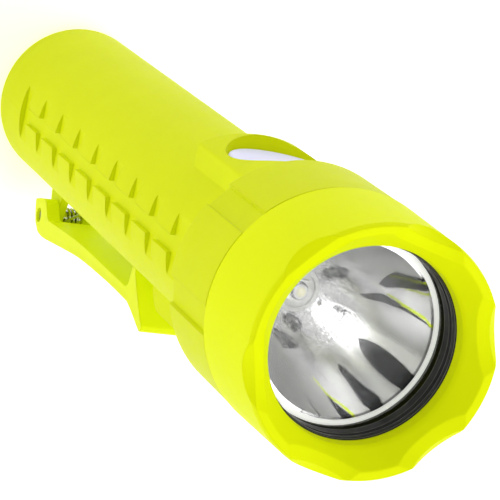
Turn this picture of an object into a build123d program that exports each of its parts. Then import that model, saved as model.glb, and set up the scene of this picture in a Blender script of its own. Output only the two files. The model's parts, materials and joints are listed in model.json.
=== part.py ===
from build123d import *
import math
import os

os.makedirs("parts", exist_ok=True)

# Hand-held firefighter flashlight, millimetres.
# The optical axis is +Z, the flat tail face is z = 0, the lamp shines towards +Z.
# The thumb button looks to -Y and the sprung belt clip sits on the +Y side.

# ---------------------------------------------------------------- driving sizes
body_r = 16.5            # grip tube, outside
tail_fillet = 2.2
shoulder_z = 134.8       # rear face of the head collar
bore_r = 14.5            # cell bore
bore_half_y = 12.5       # flats of the cell bore
bore_z0 = 3.0
cup_floor_z = 135.0
cup_r = 16.2             # lamp cup, inside
cup_out_r = 19.0         # lamp cup, outside, under the collar
collar_r = 21.9
collar_z1 = 152.9
neck_r = 18.42           # thread neck, over the crests
neck_z1 = 158.8
oring_r, oring_wire, oring_z = 17.72, 0.72, 154.6

# grip panels, one on each side
flat_x = 15.5            # chord plane of the panel
grip_z0, grip_z1 = 17.4, 123.6
channel_half = 1.6
pad_first_wall = 30.4    # head-side wall of the first pad
pad_pitch = 12.31
pad_len = 8.4
pad_count = 8

# button boss
boss_r, boss_half_x, boss_z0 = 19.8, 11.0, 107.2
btn_z = 118.7
dish_r, dish_floor_r = 9.75, 9.45
dish_floor_y = -16.9
pocket_y = -14.5
btn_r, btn_top_y, btn_bot_y = 8.9, -17.4, -15.9
stem_r, stem_end_y = 2.3, -12.6
btn_travel = 1.2

# rear rail
rail_half_x, rail_y, rail_z0 = 7.0, 19.0, 89.0

# bezel
bez_z0 = 153.1
bez_r0, bez_r1 = 22.0, 21.45
crown_z = 173.7
rim_in_r, rim_out_r = 19.75, 21.25
lip_r, lip_z0, lip_z1 = 16.6, 167.3, 169.85
bez_bore_r = 18.5
scallops = 6
scallop_first = 14.7
# (r, z) of a scallop's middle: inner toe, rim, and foot on the side wall
scallop_toe, scallop_rim, scallop_foot = (18.1, 171.35), (20.1, 172.35), (21.6, 170.9)
scallop_in_r, scallop_out_r = 15.0, 12.0
thread_pitch = 3.0

# lamp pack
focus_z, focal = 139.0, 2.3
refl_mouth_r, refl_z0, refl_z1 = 14.9, 138.4, 160.8
lens_r, lens_z0, lens_z1 = 18.1, 160.95, 162.7
gasket_in_r, gasket_out_r, gasket_z0, gasket_z1 = 16.3, 18.25, 162.75, 167.25

# clip
clip_half = 7.0
pin_y, pin_z, pin_r = 22.6, 13.6, 1.5
clip_gap = 0.3

# cells
cell_r, cell_len, nub_r, nub_h = 7.0, 50.5, 2.7, 1.3
cell_x = 7.15


def yz(x=0.0):
    """Sketch plane with local x along +Y and local y along +Z, facing +X."""
    return Plane(origin=(x, 0, 0), x_dir=(0, 1, 0), z_dir=(1, 0, 0))


# profile plane of turned pieces: local x is radius, local y is height
turned = Plane(origin=(0, 0, 0), x_dir=(1, 0, 0), z_dir=(0, -1, 0))

# ================================================================ body shell
with BuildPart() as body_shell:
    with BuildSketch(Plane.XY):
        Circle(body_r)
    extrude(amount=shoulder_z)
    fillet(body_shell.edges().sort_by(Axis.Z)[0], tail_fillet)
    # button boss: a thick pad with straight side walls and a crowned top
    with BuildSketch(Plane.XY.offset(boss_z0)):
        Circle(boss_r)
        with Locations((0, -boss_r / 2 - 1)):
            Rectangle(2 * boss_half_x, boss_r + 2, mode=Mode.INTERSECT)
    extrude(amount=shoulder_z - boss_z0)
    boss_long = (
        body_shell.edges().filter_by(Axis.Z)
        .filter_by(lambda e: abs(abs(e.center().X) - boss_half_x) < 0.05
                   and e.center().Y < -boss_r * 0.75)
    )
    fillet(boss_long, 0.8)
    with BuildSketch(yz(-12)):
        with BuildLine():
            Polyline((-22, boss_z0 - 0.1), (-18.2, boss_z0 - 0.1), (-22, boss_z0 + 2.8), close=True)
        make_face()
    extrude(amount=24, mode=Mode.SUBTRACT)
    # rear rail from the collar back to the tip of the clip
    with BuildSketch(yz(-rail_half_x)):
        with BuildLine():
            Polyline((10, rail_z0), (body_r - 0.6, rail_z0), (rail_y - 0.9, rail_z0 + 2.2),
                     (rail_y, rail_z0 + 4.0), (rail_y, shoulder_z), (10, shoulder_z), close=True)
        make_face()
    extrude(amount=2 * rail_half_x)
    # lamp cup and thread neck
    with BuildSketch(Plane.XY.offset(shoulder_z)):
        Circle(cup_out_r)
    extrude(amount=collar_z1 - shoulder_z)
    with BuildSketch(Plane.XY.offset(collar_z1)):
        Circle(neck_r)
    extrude(amount=neck_z1 - collar_z1)
    with BuildSketch(Plane.XY.offset(oring_z - 0.8)):
        Circle(neck_r + 1)
        Circle(oring_r - oring_wire - 0.02, mode=Mode.SUBTRACT)
    extrude(amount=1.6, mode=Mode.SUBTRACT)
    # two ears that carry the clip's pin
    for sx in (-1, 1):
        with BuildSketch(yz(sx * 3.05 - 0.85)):
            with BuildLine():
                Polyline((14.0, pin_z - 4.6), (body_r + 0.3, pin_z - 4.2), (pin_y, pin_z - 2.2),
                         (pin_y, pin_z + 2.2), (body_r + 0.3, pin_z + 4.2), (14.0, pin_z + 4.6), close=True)
            make_face()
            with Locations((pin_y, pin_z)):
                Circle(2.2)
        extrude(amount=1.7)
    with Locations(Location((0, pin_y, pin_z), (0, 90, 0))):
        Cylinder(pin_r, 12, mode=Mode.SUBTRACT)
    # grip panels: a chord flat that leaves raised pads along a centre channel
    for sx in (-1, 1):
        with BuildSketch(Plane(origin=(sx * flat_x, 0, 0), x_dir=(0, 1, 0), z_dir=(sx, 0, 0))) as grip:
            v = sx  # local y of this plane runs along sx * Z
            with Locations((0, v * (grip_z0 + grip_z1) / 2)):
                Rectangle(2 * channel_half, grip_z1 - grip_z0)
            gaps = [(grip_z0, pad_first_wall - pad_len)]
            for k in range(pad_count - 1):
                wall = pad_first_wall + k * pad_pitch
                gaps.append((wall, wall + pad_pitch - pad_len))
            gaps.append((pad_first_wall + (pad_count - 1) * pad_pitch, grip_z1))
            for lo, hi in gaps:
                with Locations((0, v * (lo + hi) / 2)):
                    Rectangle(14, hi - lo)
            inner = grip.vertices().filter_by(
                lambda p: abs(abs((p.Y)) - channel_half) < 0.01
                and grip_z0 + 1 < p.Z < grip_z1 - 1)
            fillet(inner, 0.7)
        extrude(amount=3, mode=Mode.SUBTRACT)
    # cell bore and lamp cup
    with BuildSketch(Plane.XY.offset(bore_z0)):
        Circle(bore_r)
        Rectangle(2 * bore_r + 2, 2 * bore_half_y, mode=Mode.INTERSECT)
    extrude(amount=cup_floor_z - bore_z0 + 0.5, mode=Mode.SUBTRACT)
    with BuildSketch(Plane.XY.offset(cup_floor_z)):
        Circle(cup_r)
    extrude(amount=neck_z1 - cup_floor_z + 1, mode=Mode.SUBTRACT)
    # thumb dish, button pocket, stem hole and seal seat
    with BuildSketch(Plane(origin=(0, dish_floor_y, btn_z), x_dir=(1, 0, 0), z_dir=(0, -1, 0))):
        Circle(dish_floor_r)
    with BuildSketch(Plane(origin=(0, -21.2, btn_z), x_dir=(1, 0, 0), z_dir=(0, -1, 0))):
        Circle(dish_r)
    loft(mode=Mode.SUBTRACT)
    with BuildSketch(Plane(origin=(0, dish_floor_y, btn_z), x_dir=(1, 0, 0), z_dir=(0, 1, 0))):
        Circle(btn_r + 0.3)
    extrude(amount=pocket_y - dish_floor_y, mode=Mode.SUBTRACT)
    with BuildSketch(Plane(origin=(0, pocket_y, btn_z), x_dir=(1, 0, 0), z_dir=(0, 1, 0))):
        Circle(4.0)
    extrude(amount=1.2, mode=Mode.SUBTRACT)
    with BuildSketch(Plane(origin=(0, pocket_y, btn_z), x_dir=(1, 0, 0), z_dir=(0, 1, 0))):
        Circle(stem_r + 0.35)
    extrude(amount=4.0, mode=Mode.SUBTRACT)
body_shell.part.label = "body_shell"
export_step(body_shell.part, "parts/body_shell.step")

# ================================================================ head collar
groove_at = [-40.2, 8.6, 57.4, 122.6, 171.4, 220.2]
with BuildPart() as head_collar:
    with BuildSketch(Plane.XY.offset(shoulder_z)):
        Circle(collar_r)
        Circle(cup_out_r, mode=Mode.SUBTRACT)
    extrude(amount=collar_z1 - shoulder_z)
    outer_rear = (
        head_collar.edges().filter_by(GeomType.CIRCLE)
        .filter_by(lambda e: abs(e.radius - collar_r) < 0.01 and e.center().Z < shoulder_z + 1)
    )
    fillet(outer_rear, 0.5)
    for angle in groove_at:
        a = math.radians(angle)
        with BuildSketch(Plane(origin=((collar_r - 0.85) * math.cos(a), (collar_r - 0.85) * math.sin(a), shoulder_z - 1),
                               x_dir=(-math.sin(a), math.cos(a), 0), z_dir=(0, 0, 1))):
            with BuildLine():
                Polyline((-2.3, 0), (2.3, 0), (2.9, -2.5), (-2.9, -2.5), close=True)
            make_face()
        extrude(amount=collar_z1 - shoulder_z + 2, mode=Mode.SUBTRACT)
head_collar.part.label = "head_collar"
export_step(head_collar.part, "parts/head_collar.step")

# ================================================================ bezel
def meridian_cut(angle, p, q, radius):
    """Plane of a round cutter that runs along the line p to q of the meridian at that angle."""
    a = math.radians(angle)
    run = math.atan2(q[1] - p[1], q[0] - p[0])
    # unit vectors of the line and of its upward normal, in the (r, z) meridian
    lr, lz = math.cos(run), math.sin(run)
    nr, nz = -lz, lr
    mid_r, mid_z = (p[0] + q[0]) / 2 + radius * nr, (p[1] + q[1]) / 2 + radius * nz
    return Plane(origin=(mid_r * math.cos(a), mid_r * math.sin(a), mid_z),
                 x_dir=(-math.sin(a), math.cos(a), 0),
                 z_dir=(lr * math.cos(a), lr * math.sin(a), lz))


with BuildPart() as bezel:
    with BuildSketch(turned):
        with BuildLine():
            Polyline((bez_bore_r, bez_z0), (bez_r0 - 0.3, bez_z0), (bez_r0, bez_z0 + 0.3),
                     (bez_r1 + 0.12, crown_z - 1.0), (rim_out_r, crown_z - 0.12), (rim_out_r - 0.12, crown_z),
                     (rim_in_r + 0.15, crown_z - 0.22), (rim_in_r, crown_z - 0.3),
                     (lip_r + 0.62, lip_z1 + 0.28), (lip_r + 0.40, lip_z1 - 0.05), (lip_r + 0.12, lip_z1 - 0.55),
                     (lip_r, lip_z0 + 0.4), (lip_r, lip_z0), (bez_bore_r, lip_z0), close=True)
        make_face()
    revolve(axis=Axis.Z)
    # scallops round the crown: an outer facet that runs out on the side wall and an inner one that dips into the rim
    for k in range(scallops):
        at = scallop_first + 60 * k
        with BuildSketch(meridian_cut(at, scallop_rim, scallop_foot, scallop_out_r)):
            Circle(scallop_out_r)
        extrude(amount=7, both=True, mode=Mode.SUBTRACT)
        with BuildSketch(meridian_cut(at, scallop_toe, scallop_rim, scallop_in_r)):
            Circle(scallop_in_r)
        extrude(amount=5, both=True, mode=Mode.SUBTRACT)
bezel.part.label = "bezel"
export_step(bezel.part, "parts/bezel.step")

# ================================================================ seals, lens, lamp
with BuildPart() as bezel_oring:
    with BuildSketch(turned):
        with Locations((oring_r, oring_z)):
            Circle(oring_wire)
    revolve(axis=Axis.Z)
bezel_oring.part.label = "bezel_oring"
export_step(bezel_oring.part, "parts/bezel_oring.step")

with BuildPart() as lens_gasket:
    with BuildSketch(turned):
        with BuildLine():
            Polyline((gasket_out_r, gasket_z0), (gasket_out_r, gasket_z1), (gasket_in_r + 0.35, gasket_z1),
                     (gasket_in_r, gasket_z1 - 0.4), (gasket_in_r, gasket_z1 - 1.3), (gasket_in_r + 0.3, gasket_z1 - 1.5),
                     (gasket_in_r + 0.3, gasket_z1 - 1.9), (gasket_in_r, gasket_z1 - 2.1), (gasket_in_r - 0.1, gasket_z0 + 0.4),
                     (gasket_in_r + 0.1, gasket_z0), close=True)
        make_face()
    revolve(axis=Axis.Z)
lens_gasket.part.label = "lens_gasket"
export_step(lens_gasket.part, "parts/lens_gasket.step")

with BuildPart() as lens:
    with BuildSketch(Plane.XY.offset(lens_z0)):
        Circle(lens_r)
    extrude(amount=lens_z1 - lens_z0)
    chamfer(lens.edges().filter_by(GeomType.CIRCLE), 0.25)
lens.part.label = "lens"
export_step(lens.part, "parts/lens.step")


def dish_r_at(z):
    return math.sqrt(4 * focal * (z - focus_z + focal))


inner_pts = [(dish_r_at(refl_z0 + (refl_z1 - refl_z0) * (i / 12) ** 1.6),
              refl_z0 + (refl_z1 - refl_z0) * (i / 12) ** 1.6) for i in range(13)]
outer_pts = [(inner_pts[0][0] + 0.75, refl_z0)] + [(r + 0.75, z - 0.2) for r, z in inner_pts[2:] if z < refl_z1 - 2.2]
with BuildPart() as reflector:
    with BuildSketch(turned):
        with BuildLine():
            Spline(*inner_pts)
            Polyline(inner_pts[-1], (inner_pts[-1][0] + 0.15, refl_z1), (lens_r, refl_z1), (lens_r, refl_z1 - 1.5),
                     (outer_pts[-1][0] + 0.35, refl_z1 - 1.5), outer_pts[-1])
            Spline(*outer_pts[::-1])
            Line(outer_pts[0], inner_pts[0])
        make_face()
    revolve(axis=Axis.Z)
reflector.part.label = "reflector"
export_step(reflector.part, "parts/reflector.step")

with BuildPart() as heat_sink:
    with BuildSketch(Plane.XY.offset(cup_floor_z)):
        Circle(cup_r - 0.1)
    extrude(amount=1.6)
    with BuildSketch(Plane.XY.offset(cup_floor_z)):
        Circle(11.8)
    extrude(amount=-3.6)
    with Locations((0, 0, cup_floor_z + 1.6)):
        with PolarLocations(7.2, 3):
            Hole(0.8, depth=4)
heat_sink.part.label = "heat_sink"
export_step(heat_sink.part, "parts/heat_sink.step")

board_top = cup_floor_z + 1.6 + 1.3
with BuildPart() as led_board:
    with BuildSketch(Plane.XY.offset(cup_floor_z + 1.6)):
        Circle(10)
        with PolarLocations(10.2, 3, start_angle=60):
            Circle(1.6, mode=Mode.SUBTRACT)
        with PolarLocations(7.2, 3):
            Circle(1.1, mode=Mode.SUBTRACT)
    extrude(amount=1.3)
led_board.part.label = "led_board"
export_step(led_board.part, "parts/led_board.step")

with BuildPart() as board_screws:
    with Locations((0, 0, board_top)):
        with PolarLocations(7.2, 3):
            Cylinder(0.75, 4.5, align=(Align.CENTER, Align.CENTER, Align.MAX))
    with BuildSketch(Plane.XY.offset(board_top)):
        with PolarLocations(7.2, 3):
            Circle(1.5)
    extrude(amount=0.8)
    with BuildSketch(Plane.XY.offset(board_top + 0.8)):
        with PolarLocations(7.2, 3):
            RegularPolygon(0.7, 6)
    extrude(amount=-0.5, mode=Mode.SUBTRACT)
board_screws.part.label = "board_screws"
export_step(board_screws.part, "parts/board_screws.step")

with BuildPart() as led_emitter:
    with BuildSketch(Plane.XY.offset(board_top)):
        Rectangle(3.6, 3.6)
    extrude(amount=0.8)
    with BuildSketch(turned):
        with BuildLine():
            Polyline((0, board_top + 0.8), (1.65, board_top + 0.8), (1.65, board_top + 0.9))
            Spline((1.65, board_top + 0.9), (1.45, board_top + 1.6), (0.8, board_top + 2.15), (0, board_top + 2.35),
                   tangents=[(0, 1), (-1, 0)])
            Line((0, board_top + 2.35), (0, board_top + 0.8))
        make_face()
    revolve(axis=Axis.Z)
led_emitter.part.label = "led_emitter"
export_step(led_emitter.part, "parts/led_emitter.step")

with BuildPart() as reflector_spacer:
    with BuildSketch(Plane.XY.offset(board_top)):
        Circle(5.4)
        Circle(3.2, mode=Mode.SUBTRACT)
    extrude(amount=refl_z0 - board_top)
reflector_spacer.part.label = "reflector_spacer"
export_step(reflector_spacer.part, "parts/reflector_spacer.step")

# ================================================================ electronics
with BuildPart() as driver_board:
    with BuildSketch(Plane.XY.offset(129.0)):
        Circle(13.6)
        Rectangle(28, 23.6, mode=Mode.INTERSECT)
    extrude(amount=1.4)
    with BuildSketch(Plane.XY.offset(129.0)):
        with Locations((-6, 3)):
            Rectangle(5, 4)
        with Locations((5, 4), (5, -4)):
            Rectangle(3.2, 2.4)
    extrude(amount=-1.6)
driver_board.part.label = "driver_board"
export_step(driver_board.part, "parts/driver_board.step")

tact_y0, tact_y1, tact_top = -8.4, -10.8, -11.2
with BuildPart() as switch_board:
    with BuildSketch(Plane(origin=(0, tact_y0, btn_z), x_dir=(1, 0, 0), z_dir=(0, 1, 0))):
        RectangleRounded(17, 11.8, 1)
    extrude(amount=1.2)
switch_board.part.label = "switch_board"
export_step(switch_board.part, "parts/switch_board.step")

with BuildPart() as tact_switch:
    with BuildSketch(Plane(origin=(0, tact_y0, btn_z), x_dir=(1, 0, 0), z_dir=(0, -1, 0))):
        RectangleRounded(6, 6, 0.4)
    extrude(amount=tact_y0 - tact_y1)
    with BuildSketch(Plane(origin=(0, tact_y1, btn_z), x_dir=(1, 0, 0), z_dir=(0, -1, 0))):
        Circle(1.75)
    extrude(amount=tact_y1 - tact_top)
tact_switch.part.label = "tact_switch"
export_step(tact_switch.part, "parts/tact_switch.step")

with BuildPart() as switch_button:
    with BuildSketch(Plane(origin=(0, btn_bot_y, btn_z), x_dir=(1, 0, 0), z_dir=(0, -1, 0))):
        Circle(btn_r)
    extrude(amount=btn_bot_y - btn_top_y)
    rim = switch_button.edges().filter_by(GeomType.CIRCLE).sort_by(Axis.Y)[0]
    fillet(rim, 0.6)
    with BuildSketch(Plane(origin=(0, btn_bot_y, btn_z), x_dir=(1, 0, 0), z_dir=(0, 1, 0))):
        Circle(stem_r)
    extrude(amount=stem_end_y - btn_bot_y)
switch_button.part.label = "switch_button"
export_step(switch_button.part, "parts/switch_button.step")

with BuildPart() as button_seal:
    with BuildSketch(Plane(origin=(0, pocket_y, btn_z), x_dir=(1, 0, 0), z_dir=(0, 1, 0))):
        Circle(4.0)
        Circle(stem_r + 0.05, mode=Mode.SUBTRACT)
    extrude(amount=1.2)
button_seal.part.label = "button_seal"
export_step(button_seal.part, "parts/button_seal.step")

# ================================================================ cells and carrier
up_z0 = 8.2              # lower end of the stack that points up
down_z0 = 6.8            # nub end of the stack that points down
plate_back_z, plate_front_z = 3.2, 111.0

with BuildPart() as aa_cells:
    for k in range(2):
        z0 = up_z0 + k * cell_len
        with BuildSketch(Plane.XY.offset(z0 + 0.02 * k)):
            with Locations((cell_x, 0)):
                Circle(cell_r)
        extrude(amount=cell_len - nub_h)
        with BuildSketch(Plane.XY.offset(z0 + cell_len - nub_h + 0.02 * k)):
            with Locations((cell_x, 0)):
                Circle(nub_r)
        extrude(amount=nub_h - 0.02)
        z1 = down_z0 + k * cell_len
        with BuildSketch(Plane.XY.offset(z1 + nub_h + 0.02 * k)):
            with Locations((-cell_x, 0)):
                Circle(cell_r)
        extrude(amount=cell_len - nub_h - 0.02)
        with BuildSketch(Plane.XY.offset(z1 + 0.02 * k)):
            with Locations((-cell_x, 0)):
                Circle(nub_r)
        extrude(amount=nub_h)
aa_cells.part.label = "aa_cells"
export_step(aa_cells.part, "parts/aa_cells.step")

with BuildPart() as battery_carrier:
    for z, t in ((plate_back_z, 1.6), (plate_front_z, 1.6)):
        with BuildSketch(Plane.XY.offset(z)):
            Circle(bore_r - 0.25)
            Rectangle(2 * bore_r, 2 * bore_half_y - 0.5, mode=Mode.INTERSECT)
        extrude(amount=t)
    with BuildSketch(Plane.XY.offset(plate_back_z + 1.6)):
        for sy in (-1, 1):
            with Locations((0, sy * 9.0)):
                Rectangle(7.0, 2.6)
            with Locations((0, sy * 6.6)):
                Rectangle(2.2, 3.0)
    extrude(amount=plate_front_z - plate_back_z - 1.6)
battery_carrier.part.label = "battery_carrier"
export_step(battery_carrier.part, "parts/battery_carrier.step")

with BuildPart() as contact_plates:
    # series link at the tail
    with BuildSketch(Plane.XY.offset(plate_back_z + 1.6)):
        with Locations((0, 0)):
            Rectangle(21, 7)
    extrude(amount=0.5)
    # two terminals at the front, a cell pad and a spring pad
    with BuildSketch(Plane.XY.offset(plate_front_z)):
        with Locations((cell_x, 0), (-cell_x, 0)):
            Rectangle(9, 8)
    extrude(amount=-0.5)
    with BuildSketch(Plane.XY.offset(plate_back_z + 2.1)):
        with Locations((-cell_x, 0)):
            Circle(2.4)
    extrude(amount=down_z0 - plate_back_z - 2.1)
    with BuildSketch(Plane.XY.offset(plate_front_z - 0.5)):
        with Locations((cell_x, 0)):
            Circle(2.4)
    extrude(amount=-(plate_front_z - 0.5 - up_z0 - 2 * cell_len))
contact_plates.part.label = "contact_plates"
export_step(contact_plates.part, "parts/contact_plates.step")


def coil(axis_origin, axis_dir, radius, wire, pitch, height, x_dir=None):
    """A plain round-wire coil with flat-cut ends, its axis along axis_dir."""
    base = Plane(origin=axis_origin, z_dir=axis_dir, x_dir=x_dir) if x_dir else Plane(origin=axis_origin, z_dir=axis_dir)
    path = Helix(pitch=pitch, height=height, radius=radius)
    section = Plane(origin=path @ 0, z_dir=path % 0) * Circle(wire / 2)
    return base.location * sweep(section, path=path, is_frenet=True)


springs = [
    coil((cell_x, 0, plate_back_z + 2.1 + 0.4), (0, 0, 1), 3.4, 0.7, 1.05, up_z0 - plate_back_z - 2.1 - 0.8),
    coil((-cell_x, 0, down_z0 + 2 * cell_len + 0.42), (0, 0, 1), 3.4, 0.7, 1.05,
         plate_front_z - 0.5 - down_z0 - 2 * cell_len - 0.84),
]
contact_springs = Compound(children=springs)
contact_springs.label = "contact_springs"
export_step(contact_springs, "parts/contact_springs.step")

# ================================================================ clip
with BuildPart() as clip:
    with BuildSketch(yz(-clip_half)):
        with BuildLine():
            outer = [(19.9, 10.0), (22.2, 10.6), (24.4, 12.0), (25.9, 14.6), (26.1, 17.0), (25.5, 24.0), (24.3, 33.5),
                     (23.2, 43.0), (22.6, 53.3), (22.2, 66.0), (22.2, 76.5)]
            Polyline(*outer[:1], (20.3, 9.8), *outer[1:4])
            Spline(*outer[3:])
            Spline((22.2, 76.5), (23.2, 80.2), (24.7, 84.6), (25.15, 86.0))
            Polyline((25.15, 86.0), (25.1, 86.7), (24.6, 87.1), (23.9, 86.9))
            Spline((23.9, 86.9), (22.4, 84.9), (19.4, 81.5), (17.0, 79.1), (14.0, 77.2))
            Polyline((14.0, 77.2), (13.6, 76.6), (19.2, 75.4), (19.9, 74.0))
            Spline((19.9, 74.0), (20.0, 60.0), (20.3, 44.0), (21.4, 27.0), (21.9, 20.6))
            Polyline((21.9, 20.6), (21.4, 19.4), (18.9, 17.0), (18.4, 15.6), (19.0, 13.0), outer[0])
        make_face()
    extrude(amount=2 * clip_half)
    # saddle of the nose, parallel to the grip tube
    with Locations((0, 0, 60)):
        Cylinder(body_r + clip_gap, 70, mode=Mode.SUBTRACT)
    # hollow for the two ears and the torsion spring
    with BuildSketch(yz(-4.2)):
        with BuildLine():
            Polyline((10, 8.0), (25.1, 8.0), (25.1, 16.6), (23.4, 19.6), (20.0, 21.4), (10, 21.4), close=True)
        make_face()
    extrude(amount=8.4, mode=Mode.SUBTRACT)
    with Locations(Location((0, pin_y, pin_z), (0, 90, 0))):
        Cylinder(pin_r + 0.05, 20, mode=Mode.SUBTRACT)
    side_edges = clip.faces().filter_by(Axis.X).filter_by(
        lambda f: abs(abs(f.center().X) - clip_half) < 0.01).edges().filter_by(
        lambda e: e.center().Y > 21.0 and e.geom_type != GeomType.CIRCLE and e.center().Z > 14.0)
    try:
        fillet(side_edges, 0.5)
    except Exception:
        pass
clip.part.label = "clip"
export_step(clip.part, "parts/clip.step")

with BuildPart() as clip_pin:
    with Locations(Location((0, pin_y, pin_z), (0, 90, 0))):
        Cylinder(pin_r, 13.0)
    chamfer(clip_pin.edges().filter_by(GeomType.CIRCLE), 0.2)
clip_pin.part.label = "clip_pin"
export_step(clip_pin.part, "parts/clip_pin.step")

spring_r, spring_wire = 2.0, 0.6
turn = coil((-1.5, pin_y, pin_z), (1, 0, 0), spring_r, spring_wire, 0.85, 3.0, x_dir=(0, 0, -1))
leg_tail = Plane(origin=(-1.5, pin_y, pin_z - spring_r), z_dir=(0, 1, 0)) * extrude(Circle(spring_wire / 2), amount=1.6)
end_angle = 2 * math.pi * 3.0 / 0.85
foot = (1.5, pin_y - 2.0 * math.sin(end_angle), pin_z - 2.0 * math.cos(end_angle))
print("spring end", foot)
leg_dir = (0, 17.25 - foot[1], 27.5 - foot[2])
leg_len = math.hypot(leg_dir[1], leg_dir[2])
leg_body = Plane(origin=foot, z_dir=leg_dir) * extrude(Circle(spring_wire / 2), amount=leg_len)
clip_spring = turn + leg_tail + leg_body
clip_spring.label = "clip_spring"
export_step(clip_spring, "parts/clip_spring.step")
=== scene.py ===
import bpy
import bmesh
import json
import math
from mathutils import Matrix, Vector

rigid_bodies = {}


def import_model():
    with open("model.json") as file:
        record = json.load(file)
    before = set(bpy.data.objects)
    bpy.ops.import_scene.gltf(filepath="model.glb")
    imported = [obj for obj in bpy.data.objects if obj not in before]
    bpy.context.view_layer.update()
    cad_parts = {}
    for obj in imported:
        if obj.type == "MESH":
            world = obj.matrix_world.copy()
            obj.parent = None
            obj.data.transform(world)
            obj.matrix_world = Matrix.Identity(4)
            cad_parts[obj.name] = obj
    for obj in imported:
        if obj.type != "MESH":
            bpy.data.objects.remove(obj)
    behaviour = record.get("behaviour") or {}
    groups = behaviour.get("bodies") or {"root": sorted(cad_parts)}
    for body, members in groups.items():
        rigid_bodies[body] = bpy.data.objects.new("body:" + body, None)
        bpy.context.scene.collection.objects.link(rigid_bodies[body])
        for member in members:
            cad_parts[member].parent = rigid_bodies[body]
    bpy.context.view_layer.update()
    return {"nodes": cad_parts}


# start from an empty scene
for o in list(bpy.data.objects):
    bpy.data.objects.remove(o, do_unlink=True)

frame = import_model()
nodes = frame["nodes"]
scene = bpy.context.scene
scene.view_settings.view_transform = "Standard"
scene.view_settings.look = "None"


# ------------------------------------------------------------------ node helpers
def new_mat(name):
    m = bpy.data.materials.new(name)
    m.use_nodes = True
    nt = m.node_tree
    for n in list(nt.nodes):
        nt.nodes.remove(n)
    out = nt.nodes.new("ShaderNodeOutputMaterial")
    bsdf = nt.nodes.new("ShaderNodeBsdfPrincipled")
    nt.links.new(bsdf.outputs["BSDF"], out.inputs["Surface"])
    return m, nt, bsdf


def node(nt, kind, **kw):
    n = nt.nodes.new(kind)
    for k, v in kw.items():
        setattr(n, k, v)
    return n


def coords(nt):
    return node(nt, "ShaderNodeTexCoord").outputs["Object"]


def noise(nt, vec, scale, detail=3.0, rough=0.55, distortion=0.0):
    n = node(nt, "ShaderNodeTexNoise")
    n.inputs["Scale"].default_value = scale
    n.inputs["Detail"].default_value = detail
    n.inputs["Roughness"].default_value = rough
    n.inputs["Distortion"].default_value = distortion
    nt.links.new(vec, n.inputs["Vector"])
    return n.outputs["Fac"]


def ramp(nt, fac, lo, hi, a, b):
    """Map Range from lo..hi to a..b, clamped."""
    n = node(nt, "ShaderNodeMapRange")
    n.inputs["From Min"].default_value = lo
    n.inputs["From Max"].default_value = hi
    n.inputs["To Min"].default_value = a
    n.inputs["To Max"].default_value = b
    nt.links.new(fac, n.inputs["Value"])
    return n.outputs["Result"]


def math_node(nt, op, a, b=None):
    n = node(nt, "ShaderNodeMath", operation=op)
    for i, v in enumerate((a, b)):
        if v is None:
            continue
        if isinstance(v, (int, float)):
            n.inputs[i].default_value = v
        else:
            nt.links.new(v, n.inputs[i])
    return n.outputs[0]


def mix_rgb(nt, fac, a, b, blend="MIX"):
    n = node(nt, "ShaderNodeMix", data_type="RGBA", blend_type=blend)
    for key, v in (("Factor", fac), ("A", a), ("B", b)):
        sock = [s for s in n.inputs if s.name == key and s.enabled][0]
        if isinstance(v, (tuple, list)):
            sock.default_value = (*v, 1.0) if len(v) == 3 else v
        elif isinstance(v, (int, float)):
            sock.default_value = v
        else:
            nt.links.new(v, sock)
    return [s for s in n.outputs if s.enabled][0]


def bump(nt, height, strength, distance, normal=None):
    n = node(nt, "ShaderNodeBump")
    n.inputs["Strength"].default_value = strength
    n.inputs["Distance"].default_value = distance
    nt.links.new(height, n.inputs["Height"])
    if normal is not None:
        nt.links.new(normal, n.inputs["Normal"])
    return n.outputs["Normal"]


def rounded(nt, radius, samples=4):
    n = node(nt, "ShaderNodeBevel", samples=samples)
    n.inputs["Radius"].default_value = radius
    return n.outputs["Normal"]


# ------------------------------------------------------------------ materials
def hi_vis(name, tone=1.0, grain=1.0, edge=0.00035, blue=0.012, gloss=0.16, painted_glow=0.10):
    """Moulded fluorescent yellow-green plastic: fine spark-eroded grain, faint flow mottling, scuffed edges, and a
    painted emission glow that stands in for its fluorescence and lifts its shade.
    """
    m, nt, b = new_mat(name)
    c = coords(nt)
    broad = noise(nt, c, 38, 4, 0.6)
    fine = noise(nt, c, 900, 3, 0.6)
    flow = noise(nt, c, 140, 5, 0.65, 0.6)
    base = mix_rgb(nt, ramp(nt, broad, 0.3, 0.7, 0.0, 1.0),
                   (0.74 * tone, 0.82 * tone, 0.6 * blue), (0.78 * tone, 0.86 * tone, blue))
    base = mix_rgb(nt, ramp(nt, flow, 0.62, 0.78, 0.0, 0.35), base, (0.70 * tone, 0.77 * tone, 1.2 * blue))
    # rubbed dirt: a few faint smudges that gather in patches
    smudge = noise(nt, c, 55, 6, 0.7, 1.2)
    base = mix_rgb(nt, ramp(nt, smudge, 0.68, 0.86, 0.0, 0.08), base, (0.46, 0.48, 0.05))
    nt.links.new(base, b.inputs["Base Color"])
    rough = math_node(nt, "ADD", ramp(nt, fine, 0.3, 0.7, 0.38, 0.50), ramp(nt, smudge, 0.45, 0.8, 0.0, 0.07))
    nt.links.new(rough, b.inputs["Roughness"])
    b.inputs["IOR"].default_value = 1.49
    b.inputs["Specular IOR Level"].default_value = gloss
    b.inputs["Subsurface Weight"].default_value = 0.12
    b.inputs["Subsurface Radius"].default_value = (0.0012, 0.0012, 0.0002)
    # painted glow: emission in the plastic's colour, standing in for fluorescence and lifting the shade
    b.inputs["Emission Color"].default_value = (0.76, 0.86, 0.0, 1)
    b.inputs["Emission Strength"].default_value = painted_glow
    n0 = rounded(nt, edge)
    n1 = bump(nt, fine, 0.20 * grain, 0.00012, n0)
    n2 = bump(nt, flow, 0.10 * grain, 0.00025, n1)
    nt.links.new(n2, b.inputs["Normal"])
    return m


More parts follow.
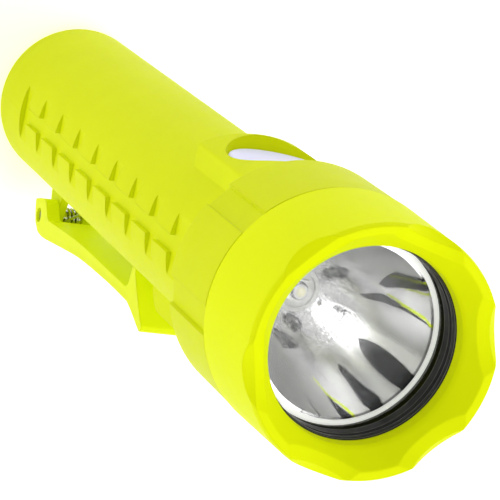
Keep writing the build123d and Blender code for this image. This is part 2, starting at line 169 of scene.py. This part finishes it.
def rubber(name, base=(0.004, 0.004, 0.004)):
    m, nt, b = new_mat(name)
    b.inputs["Specular IOR Level"].default_value = 0.22
    c = coords(nt)
    f = noise(nt, c, 700, 4, 0.6)
    g = noise(nt, c, 60, 4, 0.6)
    nt.links.new(mix_rgb(nt, ramp(nt, g, 0.35, 0.75, 0, 1), base, tuple(2.2 * x for x in base)), b.inputs["Base Color"])
    nt.links.new(ramp(nt, f, 0.3, 0.7, 0.34, 0.50), b.inputs["Roughness"])
    nt.links.new(bump(nt, f, 0.25, 0.0001, rounded(nt, 0.00012)), b.inputs["Normal"])
    return m


def gasket(name):
    """Black moulded seal with painted grey highlight lines along its ridge tops."""
    m, nt, b = new_mat(name)
    b.inputs["Specular IOR Level"].default_value = 0.22
    c = coords(nt)
    sep = node(nt, "ShaderNodeSeparateXYZ")
    nt.links.new(c, sep.inputs[0])
    f = noise(nt, c, 700, 4, 0.6)
    lines = None
    for z, half in ((0.16322, 0.00013), (0.16490, 0.00010), (0.16612, 0.00013), (0.16700, 0.00008)):
        away = math_node(nt, "ABSOLUTE", math_node(nt, "SUBTRACT", sep.outputs["Z"], z))
        g = ramp(nt, away, half * 0.5, half, 1.0, 0.0)
        lines = g if lines is None else math_node(nt, "MAXIMUM", lines, g)
    # painted highlight: grey lines along the ridge tops, patchy along their length
    painted_ridge_highlight = math_node(nt, "MULTIPLY", lines, ramp(nt, noise(nt, c, 90, 3, 0.6), 0.3, 0.6, 0.35, 1.0))
    nt.links.new(mix_rgb(nt, painted_ridge_highlight, (0.004, 0.004, 0.004), (0.13, 0.13, 0.12)), b.inputs["Base Color"])
    nt.links.new(ramp(nt, f, 0.3, 0.7, 0.34, 0.50), b.inputs["Roughness"])
    nt.links.new(bump(nt, f, 0.25, 0.0001, rounded(nt, 0.00012)), b.inputs["Normal"])
    return m


def metal(name, base, rough=0.25, aniso=0.0, brush=None, dirt=0.1):
    m, nt, b = new_mat(name)
    c = coords(nt)
    b.inputs["Metallic"].default_value = 1.0
    g = noise(nt, c, 220, 5, 0.6)
    f = noise(nt, c, 1600, 3, 0.6)
    nt.links.new(mix_rgb(nt, ramp(nt, g, 0.4, 0.8, 0, dirt), base, tuple(0.45 * x for x in base)), b.inputs["Base Color"])
    nt.links.new(ramp(nt, f, 0.25, 0.75, max(0.04, rough - 0.07), rough + 0.09), b.inputs["Roughness"])
    if brush:
        mp = node(nt, "ShaderNodeMapping")
        mp.inputs["Scale"].default_value = brush
        nt.links.new(c, mp.inputs["Vector"])
        s = noise(nt, mp.outputs["Vector"], 260, 4, 0.6)
        nt.links.new(bump(nt, s, 0.25, 0.00006, rounded(nt, 0.0001)), b.inputs["Normal"])
    else:
        nt.links.new(bump(nt, f, 0.08, 0.00005, rounded(nt, 0.0001)), b.inputs["Normal"])
    b.inputs["Anisotropic"].default_value = aniso
    return m


def plastic(name, a, b2, rough=0.45, scale=500.0, strength=0.15, painted_glow=0.0):
    m, nt, b = new_mat(name)
    # painted glow: an emission that brightens the part though it is no lamp
    if painted_glow:
        b.inputs["Emission Color"].default_value = (0.64, 0.64, 1.0, 1)
        b.inputs["Emission Strength"].default_value = painted_glow
    c = coords(nt)
    f = noise(nt, c, scale, 4, 0.6)
    g = noise(nt, c, 45, 4, 0.6)
    nt.links.new(mix_rgb(nt, ramp(nt, g, 0.35, 0.7, 0, 1), a, b2), b.inputs["Base Color"])
    nt.links.new(ramp(nt, f, 0.3, 0.7, rough - 0.06, rough + 0.08), b.inputs["Roughness"])
    nt.links.new(bump(nt, f, strength, 0.0001, rounded(nt, 0.00015)), b.inputs["Normal"])
    return m


def curve_of(nt, fac, stops):
    """Value as a piecewise line over 0..1, from a colour ramp."""
    n = node(nt, "ShaderNodeValToRGB")
    els = n.color_ramp.elements
    els[0].position, els[0].color = stops[0][0], (stops[0][1],) * 3 + (1,)
    els[1].position, els[1].color = stops[-1][0], (stops[-1][1],) * 3 + (1,)
    for pos, val in stops[1:-1]:
        el = els.new(pos)
        el.color = (val, val, val, 1)
    nt.links.new(fac, n.inputs[0])
    return n.outputs["Color"]


# Painted stand-ins for the bowl's dark reflections, fixed to the bowl, so they do not move with the viewer.
# Dark gores: r in mm against (middle azimuth, half width) in degrees.
# The first seven were placed by measurement for the main view, the last three are invented for the unseen part.
GORES = [
    [(9.9, 151, 0), (10.6, 150, 5.0), (11.6, 149.5, 8.0), (13.0, 149, 8.6), (14.2, 149, 7.4), (14.9, 149, 6.2)],
    [(10.6, 120, 0), (11.1, 120.2, 2.6), (12.8, 121.5, 4.2), (14.3, 123.4, 6.4), (14.9, 123.6, 4.8)],
    [(12.3, 96.5, 0), (12.9, 97.2, 0.9), (13.6, 98.5, 1.7), (14.9, 102.8, 3.8)],
    [(10.7, -150, 0), (11.3, -148.5, 4.6), (12.8, -142, 7.6), (14.0, -142.5, 6.4), (14.9, -142.5, 5.4)],
    [(8.6, -166, 0), (9.3, -166, 3.2), (10.9, -163, 4.4), (12.6, -166, 1.8), (14.2, -170, 1.0), (14.9, -172.5, 0.7)],
    [(12.0, 75.5, 0), (13.0, 78.0, 0.5), (14.9, 84.5, 0.8)],
    [(11.8, 62.5, 0), (13.2, 67.0, 0.4), (14.9, 72.0, 0.7)],
    [(11.0, 20, 0), (12.0, 22, 3.0), (13.6, 24, 5.5), (14.9, 25, 4.2)],
    [(11.4, -52, 0), (12.2, -51, 2.4), (13.8, -49, 5.0), (14.9, -48, 3.6)],
    [(12.2, -92, 0), (13.0, -91, 1.2), (14.9, -88, 2.6)],
]
# painted windows of dark stippling nearer the lamp, standing in for dark reflections, the last two invented
STIPPLE_REFLECTION_WINDOWS = [
    [(4.2, -141, 0), (5.0, -139, 12), (7.4, -134, 11), (8.7, -139, 0)],
    [(5.8, 165, 0), (6.5, 165, 6), (7.6, 165, 7), (8.4, 165, 0)],
    [(3.9, 157, 0), (4.5, 157, 9), (5.1, 157, 0)],
    [(6.8, 70, 0), (7.5, 70, 16), (8.4, 68, 18), (9.3, 66, 0)],
    [(4.0, 82, 0), (4.8, 82, 18), (6.0, 86, 15), (6.8, 88, 0)],
    [(4.8, -22, 0), (6.0, -24, 12), (7.5, -20, 10), (8.5, -20, 0)],
    [(5.6, 20, 0), (6.4, 22, 8), (7.6, 20, 7), (8.3, 20, 0)],
]
# painted hairlines of the bezel's colour beside the gores, standing in for its reflection
HAIRS = [
    [(11.2, 92.5, 0), (11.5, 93.2, 0.5), (13.0, 97.8, 0.7), (14.0, 104.2, 0.9), (14.9, 107.6, 0.9)],
    [(11.2, -158, 0), (11.5, -158.5, 0.8), (12.6, -163.6, 1.0), (14.4, -168, 1.0), (14.9, -171.5, 1.0)],
    [(12.6, -149.6, 0), (13.4, -149.8, 0.5), (14.9, -150.2, 0.7)],
    [(11.8, -139, 0), (12.4, -139.6, 0.35), (14.9, -141.5, 0.45)],
    [(12.2, 28.5, 0), (13.0, 29.5, 0.5), (14.9, 31, 0.7)],
]


def reflector_metal(name):
    """Vacuum-metallised bowl: stippled round the lamp, satin outside it, with painted gores, hairlines, sheen, glints
    and dark stippling in place of reflections, a flange painted pale in place of its reflection, and a painted emission
    glow to lift it.
    """
    m, nt, b = new_mat(name)
    c = coords(nt)
    sep = node(nt, "ShaderNodeSeparateXYZ")
    nt.links.new(c, sep.inputs[0])
    x, y = sep.outputs["X"], sep.outputs["Y"]
    r = math_node(nt, "SQRT", math_node(nt, "ADD", math_node(nt, "MULTIPLY", x, x), math_node(nt, "MULTIPLY", y, y)))
    r16 = math_node(nt, "DIVIDE", r, 0.016)
    az = math_node(nt, "MULTIPLY", math_node(nt, "ARCTAN2", y, x), 180.0 / math.pi)
    peel = noise(nt, c, 1500, 2, 0.5)
    soft = noise(nt, c, 260, 3, 0.5)
    wave = noise(nt, c, 90, 2, 0.4)
    ragged = noise(nt, c, 1100, 5, 0.8)
    wobble = math_node(nt, "MULTIPLY", math_node(nt, "SUBTRACT", ragged, 0.5), 4.5)
    az_r = math_node(nt, "ADD", az, wobble)

    def gore(spec, wide, edge):
        mid = curve_of(nt, r16, [(rr / 16.0, (a_mid + 180.0) / 360.0) for rr, a_mid, hw in spec])
        half = curve_of(nt, r16, [(rr / 16.0, hw / 20.0) for rr, a_mid, hw in spec])
        off = math_node(nt, "ABSOLUTE", math_node(nt, "SUBTRACT", az_r, math_node(nt, "SUBTRACT", math_node(nt, "MULTIPLY", mid, 360.0), 180.0)))
        room = math_node(nt, "SUBTRACT", math_node(nt, "MULTIPLY", half, 20.0 * wide), off)
        return ramp(nt, room, 0.0, edge, 0.0, 1.0)

    dark, hair = None, None
    for spec in GORES:
        g = gore(spec, 1.0, 0.5)
        dark = g if dark is None else math_node(nt, "MAXIMUM", dark, g)
    for spec in HAIRS:
        g = gore(spec, 1.5, 0.3)
        hair = g if hair is None else math_node(nt, "MAXIMUM", hair, g)
    stipple_reflection_windows = None
    for spec in STIPPLE_REFLECTION_WINDOWS:
        g = gore(spec, 1.45, 11.0)
        stipple_reflection_windows = g if stipple_reflection_windows is None else math_node(nt, "MAXIMUM", stipple_reflection_windows, g)
    # painted sheen: broad bands of highlight in the base colour that run round the bowl
    sheen = None
    for mid_az, half_az, lift in ((161.0, 9.0, 0.34), (134.5, 7.0, 0.26), (111.0, 6.0, 0.10), (-60.0, 14.0, 0.25), (40.0, 12.0, 0.14), (-10.0, 16.0, 0.14), (-125.0, 14.0, 0.16), (-156.0, 9.0, 0.20)):
        away = math_node(nt, "ABSOLUTE", math_node(nt, "SUBTRACT", az, mid_az))
        g = ramp(nt, away, half_az * 0.3, half_az, lift, 0.0)
        sheen = g if sheen is None else math_node(nt, "ADD", sheen, g)
    outer = ramp(nt, r, 0.0088, 0.0112, 0.0, 1.0)
    level = math_node(nt, "ADD", math_node(nt, "MULTIPLY", sheen, outer), ramp(nt, soft, 0.3, 0.75, 0.64, 0.54))
    silver = node(nt, "ShaderNodeCombineColor")
    for i in range(3):
        nt.links.new(level, silver.inputs[i])
    base = silver.outputs[0]
    # painted reflection: patches of dark stippling between the lamp and the smooth zone
    grit = ramp(nt, noise(nt, c, 1500, 4, 0.85, 1.0), 0.44, 0.48, 0.0, 1.0)
    stipple_reflection = math_node(nt, "MULTIPLY", ramp(nt, math_node(nt, "ADD", stipple_reflection_windows, math_node(nt, "MULTIPLY", math_node(nt, "SUBTRACT", noise(nt, c, 1000, 5, 0.9), 0.5), 3.2)), 0.42, 0.5, 0.0, 1.0), grit)
    stipple_reflection = math_node(nt, "MULTIPLY", stipple_reflection, ramp(nt, stipple_reflection_windows, 0.0, 0.05, 0.0, 1.0))
    # painted glints: white flecks near the lamp standing in for highlights
    glint = math_node(nt, "MULTIPLY", ramp(nt, r, 0.0085, 0.0098, 1.0, 0.0), ramp(nt, noise(nt, c, 1900, 4, 0.8), 0.50, 0.56, 0.0, 0.6))
    base = mix_rgb(nt, glint, base, (0.98, 0.98, 0.98))
    base = mix_rgb(nt, math_node(nt, "MULTIPLY", stipple_reflection, 0.93), base, (0.05, 0.05, 0.055))
    base = mix_rgb(nt, math_node(nt, "MULTIPLY", dark, 0.96), base, (0.025, 0.025, 0.03))
    base = mix_rgb(nt, math_node(nt, "MULTIPLY", hair, 0.9), base, (0.62, 0.74, 0.02))
    # painted reflection: the flange is made pale and non-metallic in place of its mirror image of the white
    # surroundings
    flange = ramp(nt, r, 0.01536, 0.01544, 0.0, 1.0)
    base = mix_rgb(nt, flange, base, (0.92, 0.925, 0.915))
    # painted glow: emission at a tenth of the base colour across the bowl, much stronger on the flange
    lift = mix_rgb(nt, flange, mix_rgb(nt, 0.90, base, (0.0, 0.0, 0.0)), (0.46, 0.465, 0.455))
    # painted glow round the lamp, kept off the dark stippling
    halo = math_node(nt, "MULTIPLY", ramp(nt, r, 0.0075, 0.0100, 1.0, 0.0), math_node(nt, "SUBTRACT", 1.0, stipple_reflection))
    lift = mix_rgb(nt, halo, lift, (0.11, 0.11, 0.107))
    seat = ramp(nt, r, 0.01630, 0.01638, 0.0, 1.0)
    base = mix_rgb(nt, seat, base, (0.006, 0.006, 0.006))
    lift = mix_rgb(nt, seat, lift, (0.0, 0.0, 0.0))
    nt.links.new(lift, b.inputs["Emission Color"])
    b.inputs["Emission Strength"].default_value = 1.0
    nt.links.new(base, b.inputs["Base Color"])
    nt.links.new(math_node(nt, "SUBTRACT", 1.0, flange), b.inputs["Metallic"])
    inner = ramp(nt, r, 0.0085, 0.0105, 1.0, 0.0)
    rough = math_node(nt, "SUBTRACT", 0.21, math_node(nt, "MULTIPLY", inner, 0.13))
    nt.links.new(math_node(nt, "ADD", rough, math_node(nt, "MULTIPLY", flange, 0.2)), b.inputs["Roughness"])
    n1 = bump(nt, math_node(nt, "MULTIPLY", peel, inner), 0.45, 0.00014)
    n2 = bump(nt, math_node(nt, "MULTIPLY", soft, inner), 0.45, 0.00035, n1)
    n3 = bump(nt, wave, 0.05, 0.0004, n2)
    nt.links.new(n3, b.inputs["Normal"])
    return m


def glass(name):
    """Clear polished window; mostly see-through so the lamp behind is lit, with a faint film of dust."""
    m, nt, b = new_mat(name)
    c = coords(nt)
    f = noise(nt, c, 350, 5, 0.65)
    b.inputs["Base Color"].default_value = (0.96, 0.98, 0.98, 1)
    b.inputs["Transmission Weight"].default_value = 1.0
    b.inputs["IOR"].default_value = 1.46
    nt.links.new(ramp(nt, f, 0.55, 0.85, 0.0, 0.05), b.inputs["Roughness"])
    b.inputs["Alpha"].default_value = 0.12
    return m


def led_mat(name):
    """Phosphor under a clear dome: yellow centre, white ceramic round it."""
    m, nt, b = new_mat(name)
    c = coords(nt)
    sep = node(nt, "ShaderNodeSeparateXYZ")
    nt.links.new(c, sep.inputs[0])
    r = math_node(nt, "SQRT", math_node(nt, "ADD", math_node(nt, "MULTIPLY", sep.outputs["X"], sep.outputs["X"]),
                                        math_node(nt, "MULTIPLY", sep.outputs["Y"], sep.outputs["Y"])))
    f = noise(nt, c, 2500, 3, 0.6)
    core = ramp(nt, r, 0.00060, 0.00105, 1.0, 0.0)
    col = mix_rgb(nt, core, (0.80, 0.80, 0.78), (0.88, 0.84, 0.50))
    col = mix_rgb(nt, ramp(nt, f, 0.5, 0.8, 0, 0.25), col, (0.95, 0.93, 0.70))
    ring = math_node(nt, "MULTIPLY", ramp(nt, r, 0.00128, 0.00136, 0.0, 1.0), ramp(nt, r, 0.00160, 0.00168, 1.0, 0.0))
    col = mix_rgb(nt, math_node(nt, "MULTIPLY", ring, 0.9), col, (0.05, 0.05, 0.055))
    nt.links.new(col, b.inputs["Base Color"])
    nt.links.new(ramp(nt, f, 0.3, 0.7, 0.12, 0.2), b.inputs["Roughness"])
    b.inputs["Coat Weight"].default_value = 1.0
    b.inputs["Coat Roughness"].default_value = 0.03
    return m


# shell, head, bezel and clip are copies of one plastic made lighter and darker per part through tone and painted glow:
# painted light and shade
M = {
    "shell": hi_vis("shell_plastic", tone=0.93, blue=0.006, gloss=0.02, painted_glow=0.09),
    "head": hi_vis("head_plastic", tone=0.91, blue=0.005, gloss=0.03, painted_glow=0.085),
    "bezel": hi_vis("bezel_plastic", tone=1.0, edge=0.0004, blue=0.004, gloss=0.02, painted_glow=0.16),
    "clip": hi_vis("clip_plastic", tone=1.02, blue=0.012, gloss=0.06, painted_glow=0.13),
    "button": plastic("button_silicone", (0.58, 0.57, 0.70), (0.62, 0.61, 0.74), 0.42, 700, 0.12, 0.32),
    "seal": rubber("seal_rubber"),
    "gasket": gasket("gasket_rubber"),
    "lens": glass("lens_glass"),
    "refl": reflector_metal("reflector_metal"),
    "steel": metal("spring_steel", (0.55, 0.56, 0.57), 0.26, brush=(1, 8, 8)),
    "pin": metal("pin_steel", (0.60, 0.61, 0.62), 0.22),
    "alu": metal("turned_aluminium", (0.75, 0.76, 0.77), 0.3, brush=(1, 1, 25)),
    "pcb": plastic("board_green", (0.010, 0.13, 0.035), (0.015, 0.17, 0.05), 0.3, 900, 0.1),
    "white": plastic("board_white", (0.80, 0.80, 0.78), (0.86, 0.86, 0.84), 0.35, 900, 0.1),
    "led": led_mat("led_phosphor"),
    "carrier": plastic("carrier_black", (0.012, 0.012, 0.014), (0.022, 0.022, 0.024), 0.5, 500, 0.2),
    "cell": plastic("cell_sleeve", (0.03, 0.035, 0.045), (0.045, 0.05, 0.06), 0.25, 800, 0.05),
    "nickel": metal("nickel_plate", (0.72, 0.70, 0.64), 0.2),
}
USE = {
    "body_shell": "shell", "head_collar": "head", "bezel": "bezel", "clip": "clip", "switch_button": "button",
    "bezel_oring": "seal", "lens_gasket": "gasket", "button_seal": "seal", "lens": "lens", "reflector": "refl",
    "clip_spring": "steel", "clip_pin": "pin", "board_screws": "steel", "heat_sink": "alu", "led_board": "white",
    "led_emitter": "led", "reflector_spacer": "white", "driver_board": "pcb", "switch_board": "pcb",
    "tact_switch": "carrier", "battery_carrier": "carrier", "aa_cells": "cell", "contact_plates": "nickel",
    "contact_springs": "nickel",
}
for name, key in USE.items():
    o = nodes[name]
    if not o.data.materials:
        o.data.materials.append(M[key])
    for s in o.material_slots:
        s.material = M[key]

# ------------------------------------------------------------------ floor, light, camera
def floor_mesh():
    bm = bmesh.new()
    n, size = 24, 6.0
    grid = [[bm.verts.new((size * (i / n - 0.5), size * (j / n - 0.5), -0.0003)) for j in range(n + 1)] for i in range(n + 1)]
    for i in range(n):
        for j in range(n):
            bm.faces.new((grid[i][j], grid[i + 1][j], grid[i + 1][j + 1], grid[i][j + 1]))
    me = bpy.data.meshes.new("floor")
    bm.to_mesh(me)
    bm.free()
    o = bpy.data.objects.new("floor", me)
    scene.collection.objects.link(o)
    m, nt, b = new_mat("floor_paper")
    c = coords(nt)
    b.inputs["Roughness"].default_value = 0.9
    nt.links.new(mix_rgb(nt, noise(nt, c, 3, 3), (0.90, 0.90, 0.90), (0.92, 0.92, 0.92)), b.inputs["Base Color"])
    b.inputs["Emission Color"].default_value = (1, 1, 1, 1)
    b.inputs["Emission Strength"].default_value = 0.50
    o.data.materials.append(m)
    return o


floor_mesh()

world = bpy.data.worlds.new("studio")
scene.world = world
world.use_nodes = True
wn = world.node_tree
bg = wn.nodes["Background"]
bg.inputs["Color"].default_value = (0.97, 0.975, 1.0, 1)
bg.inputs["Strength"].default_value = 0.41


def polar(theta, azimuth):
    """Unit vector at theta from the lamp's axis."""
    t, a = math.radians(theta), math.radians(azimuth)
    return Vector((math.sin(t) * math.cos(a), math.sin(t) * math.sin(a), math.cos(t)))


def studio_panels():
    """What the polished pieces mirror: bright white panels all round with soft dark gaps between them."""
    view = node(wn, "ShaderNodeTexCoord").outputs["Generated"]
    level = None
    for theta, az, half, soft_edge, depth in PANEL_GAPS:
        d = polar(theta, az)
        dot = node(wn, "ShaderNodeVectorMath", operation="DOT_PRODUCT")
        wn.links.new(view, dot.inputs[0])
        dot.inputs[1].default_value = d
        inner_edge, outer_edge = math.cos(math.radians(half)), math.cos(math.radians(half + soft_edge))
        gap = ramp(wn, dot.outputs["Value"], outer_edge, inner_edge, 1.0, 1.0 - depth)
        level = gap if level is None else math_node(wn, "MULTIPLY", level, gap)
    return level


# (angle from the axis, azimuth, half width, soft edge, depth) of each dark gap, degrees
PANEL_GAPS = [(68.0, 60.0, 14.0, 8.0, 0.7), (75.0, 230.0, 12.0, 8.0, 0.7), (80.0, 320.0, 14.0, 8.0, 0.7)]
mirror_bg = node(wn, "ShaderNodeBackground")
mirror_bg.inputs["Color"].default_value = (1.0, 1.0, 1.0, 1)
wn.links.new(math_node(wn, "MULTIPLY", studio_panels(), 0.98), mirror_bg.inputs["Strength"])
both = node(wn, "ShaderNodeMixShader")
wn.links.new(node(wn, "ShaderNodeLightPath").outputs["Is Glossy Ray"], both.inputs[0])
wn.links.new(bg.outputs[0], both.inputs[1])
wn.links.new(mirror_bg.outputs[0], both.inputs[2])
wn.links.new(both.outputs[0], wn.nodes["World Output"].inputs["Surface"])

# directions of the picture in the object's frame
cam_x = Vector((-0.9196136391, -0.2037731023, 0.33585))
cam_y = Vector((0.1086399922, -0.9535209742, -0.28105))
cam_z = Vector((0.3775046130, -0.2219721335, 0.89901))
cam_pos = Vector((0.17864267, -0.10421495, 0.53844870))
aim = Vector((0.0, 0.0, 0.12))


def soft_light(name, direction, distance, size, power, color=(1, 1, 1)):
    d = direction.normalized()
    data = bpy.data.lights.new(name, "AREA")
    data.shape = "DISK"
    data.size = size
    data.energy = power
    data.color = color
    o = bpy.data.objects.new(name, data)
    scene.collection.objects.link(o)
    o.location = aim + d * distance
    o.rotation_mode = "QUATERNION"
    o.rotation_quaternion = d.to_track_quat("Z", "Y")
    return o


soft_light("key", -cam_x * 0.75 - cam_y * 0.55 + cam_z * 0.55, 1.5, 1.1, 3.9)
soft_light("fill", cam_x * 0.9 + cam_y * 0.5 + cam_z * 0.5, 1.7, 1.3, 2.0)
soft_light("top", cam_z * 1.0 + cam_y * 0.35, 1.9, 1.0, 1.2)
soft_light("front", Vector((-0.416, 0.243, 0.876)), 1.6, 1.3, 14.5)

cam_data = bpy.data.cameras.new("camera")
cam = bpy.data.objects.new("camera", cam_data)
scene.collection.objects.link(cam)
cam_data.sensor_width = 36.0
cam_data.lens = 2652.55 * 36.0 / 500.0
cam_data.shift_x = (250.0 - 246.73) / 500.0
cam_data.shift_y = (252.21 - 250.0) / 500.0
cam_data.clip_start = 0.02
cam_data.clip_end = 50.0
rot = Matrix((cam_x, cam_y, cam_z)).transposed()
cam.matrix_world = Matrix.Translation(cam_pos) @ rot.to_4x4()
scene.camera = cam
